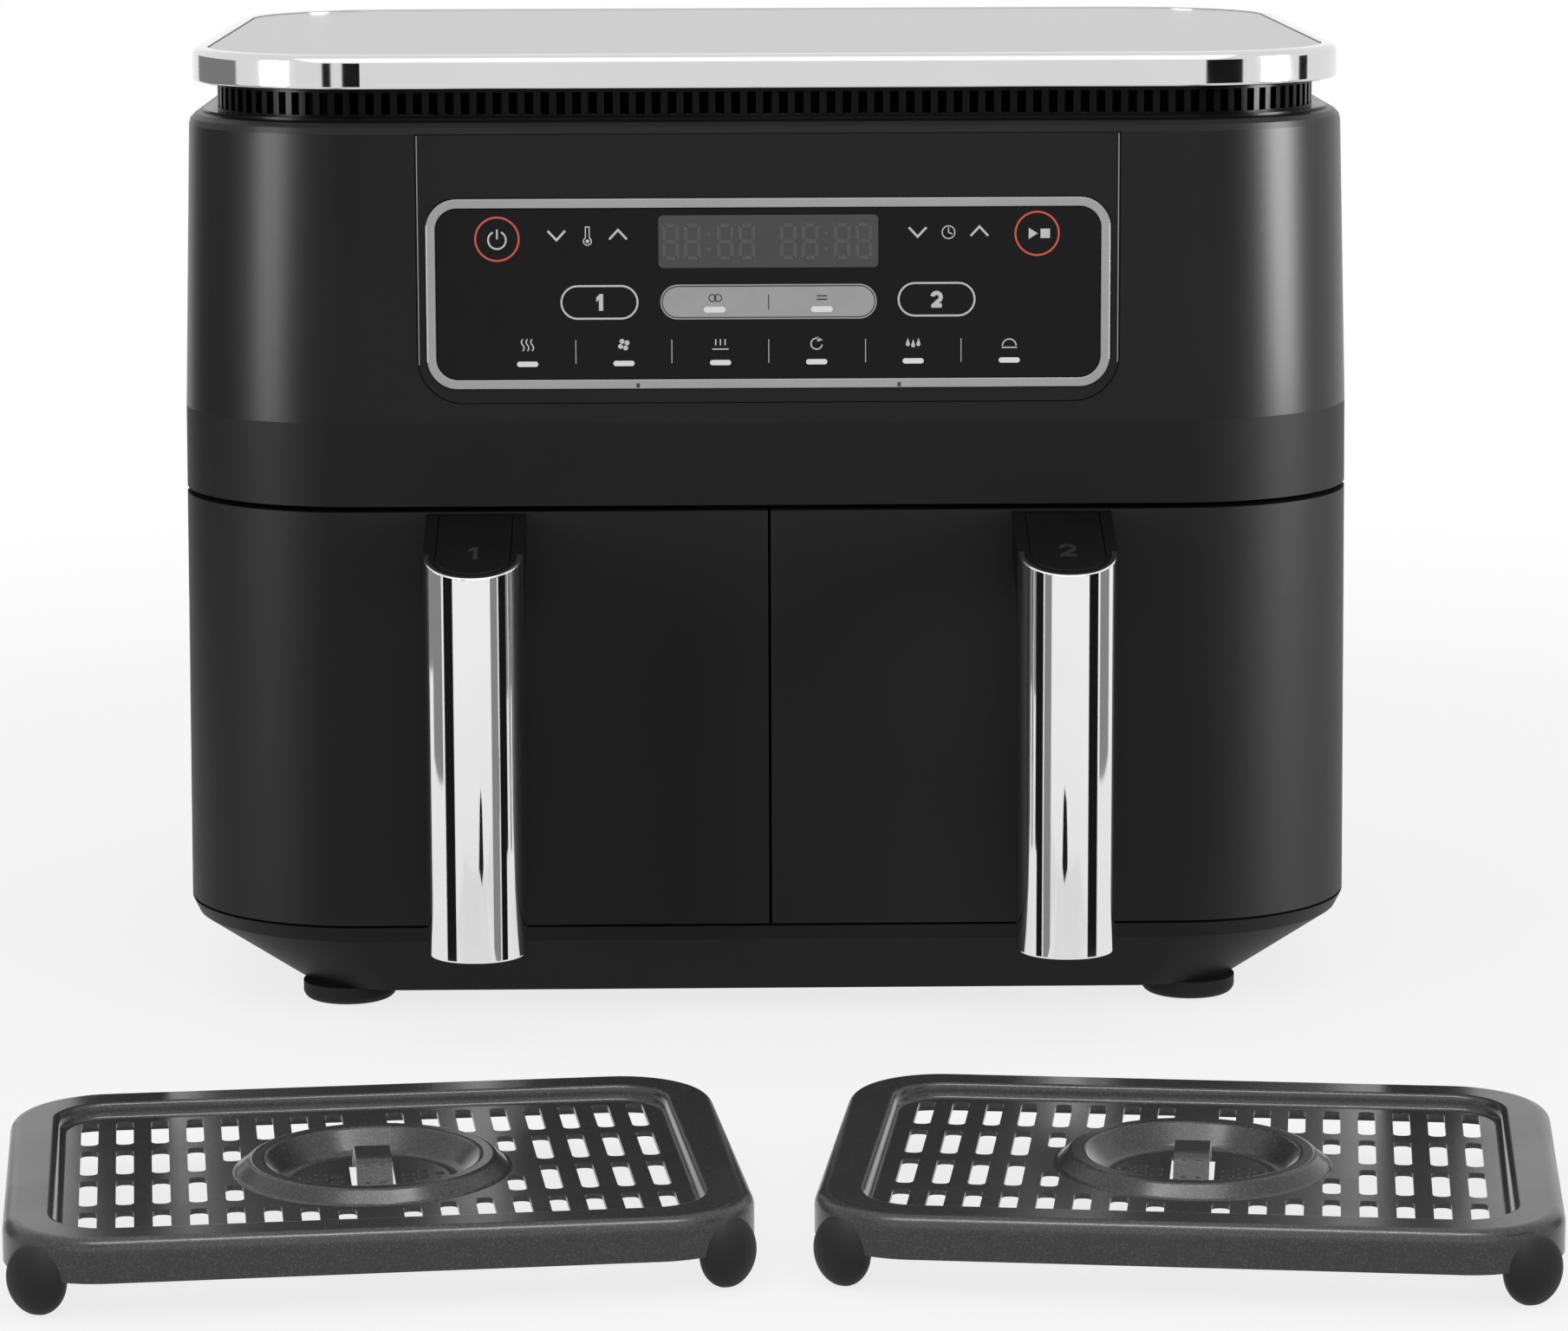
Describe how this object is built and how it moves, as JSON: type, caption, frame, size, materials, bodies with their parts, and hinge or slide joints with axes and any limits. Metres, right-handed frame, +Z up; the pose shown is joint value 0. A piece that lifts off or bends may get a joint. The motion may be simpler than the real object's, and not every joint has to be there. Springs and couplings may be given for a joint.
{
  "type": "dual-drawer air fryer",
  "caption": "Countertop air fryer with two pull-out basket drawers, bar handles, a touch control panel, a ribbed top vent and a steel lid, its slotted crisper plates lying in front.",
  "frame": {"origin": "on the table under the middle of the housing's footprint", "axes": "+X to the fryer's right as seen from its front, +Y to its back, +Z up"},
  "size_m": [0.4464, 0.6241, 0.3151],
  "materials": {
    "housing_black": "matte black with a fine grain",
    "vent_black": "smooth black",
    "lid_steel": "brushed along the width",
    "bright_trim": "polished",
    "bezel_silver": "satin",
    "panel_black": "glossy",
    "display_grey": "smoked, satin",
    "key_grey": "satin",
    "handle_black": "satin black",
    "foot_rubber": "matte",
    "bumper_rubber": "soft matte",
    "plate_coating": "dark grey non-stick with a fine sparkle",
    "basket_coating": "dark non-stick",
    "liner_steel": "dull sheet steel",
    "heater_steel": "heat-dulled tube",
    "deck_steel": "zinc-plated sheet",
    "motor_case": "grey case",
    "fan_aluminium": "pressed sheet",
    "shaft_steel": "ground",
    "screw_steel": "zinc-plated",
    "board_green": "solder mask",
    "switch_plastic": "moulded",
    "probe_steel": "drawn tube"
  },
  "bodies": {
    "fryer": {"base_tray": "housing_black", "rubber_feet": "foot_rubber", "base_screws": "screw_steel", "lower_housing": "housing_black", "upper_housing": "housing_black", "rear_cover": "housing_black", "rear_screws": "screw_steel", "cord_gland": "foot_rubber", "front_frame": "housing_black", "motor_deck": "deck_steel", "control_board": "board_green", "power_board": "board_green", "panel_insert": "housing_black", "control_bezel": "bezel_silver", "touch_panel": "panel_black", "display_window": "display_grey", "mode_key_plate": "key_grey", "vent_grille": "vent_black", "lid_tray": "housing_black", "lid_band": "bright_trim", "lid_plate": "lid_steel", "cavity_liner_1": "liner_steel", "drawer_rails_1": "liner_steel", "heating_element_1": "heater_steel", "fan_motor_1": "motor_case", "temperature_probe_1": "probe_steel", "drawer_switch_1": "switch_plastic", "cavity_liner_2": "liner_steel", "drawer_rails_2": "liner_steel", "heating_element_2": "heater_steel", "fan_motor_2": "motor_case", "temperature_probe_2": "probe_steel", "drawer_switch_2": "switch_plastic"},
    "drawer_1": {"drawer_front_1": "housing_black", "drawer_back_1": "housing_black", "basket_1": "basket_coating", "handle_core_1": "handle_black", "handle_cover_1": "bright_trim", "handle_cap_1": "handle_black", "handle_screws_1": "screw_steel"},
    "drawer_2": {"drawer_front_2": "housing_black", "drawer_back_2": "housing_black", "basket_2": "basket_coating", "handle_core_2": "handle_black", "handle_cover_2": "bright_trim", "handle_cap_2": "handle_black", "handle_screws_2": "screw_steel"},
    "fan_1": {"fan_shaft_1": "shaft_steel", "hot_air_fan_1": "fan_aluminium", "cooling_fan_1": "fan_aluminium"},
    "fan_2": {"fan_shaft_2": "shaft_steel", "hot_air_fan_2": "fan_aluminium", "cooling_fan_2": "fan_aluminium"},
    "plate_1": {"crisper_plate_1": "plate_coating", "plate_feet_1": "bumper_rubber"},
    "plate_2": {"crisper_plate_2": "plate_coating", "plate_feet_2": "bumper_rubber"}
  },
  "joints": [
    {"name": "drawer_1_slide", "type": "slide", "parent": "fryer", "child": "drawer_1", "axis": [0, -1, 0], "range_m": [0, 0.27]},
    {"name": "drawer_2_slide", "type": "slide", "parent": "fryer", "child": "drawer_2", "axis": [0, -1, 0], "range_m": [0, 0.27]},
    {"name": "fan_1_spin", "type": "hinge", "parent": "fryer", "child": "fan_1", "pos_m": [-0.0945, 0.0274, 0.21], "axis": [0, 0, 1], "continuous": true},
    {"name": "fan_2_spin", "type": "hinge", "parent": "fryer", "child": "fan_2", "pos_m": [0.0945, 0.0274, 0.21], "axis": [0, 0, 1], "continuous": true},
    {"name": "plate_1_slide", "type": "slide", "parent": "fryer", "child": "plate_1", "axis": [0, -1, 0], "range_m": [0, 0.15]},
    {"name": "plate_2_slide", "type": "slide", "parent": "fryer", "child": "plate_2", "axis": [0, -1, 0], "range_m": [0, 0.15]}
  ]
}
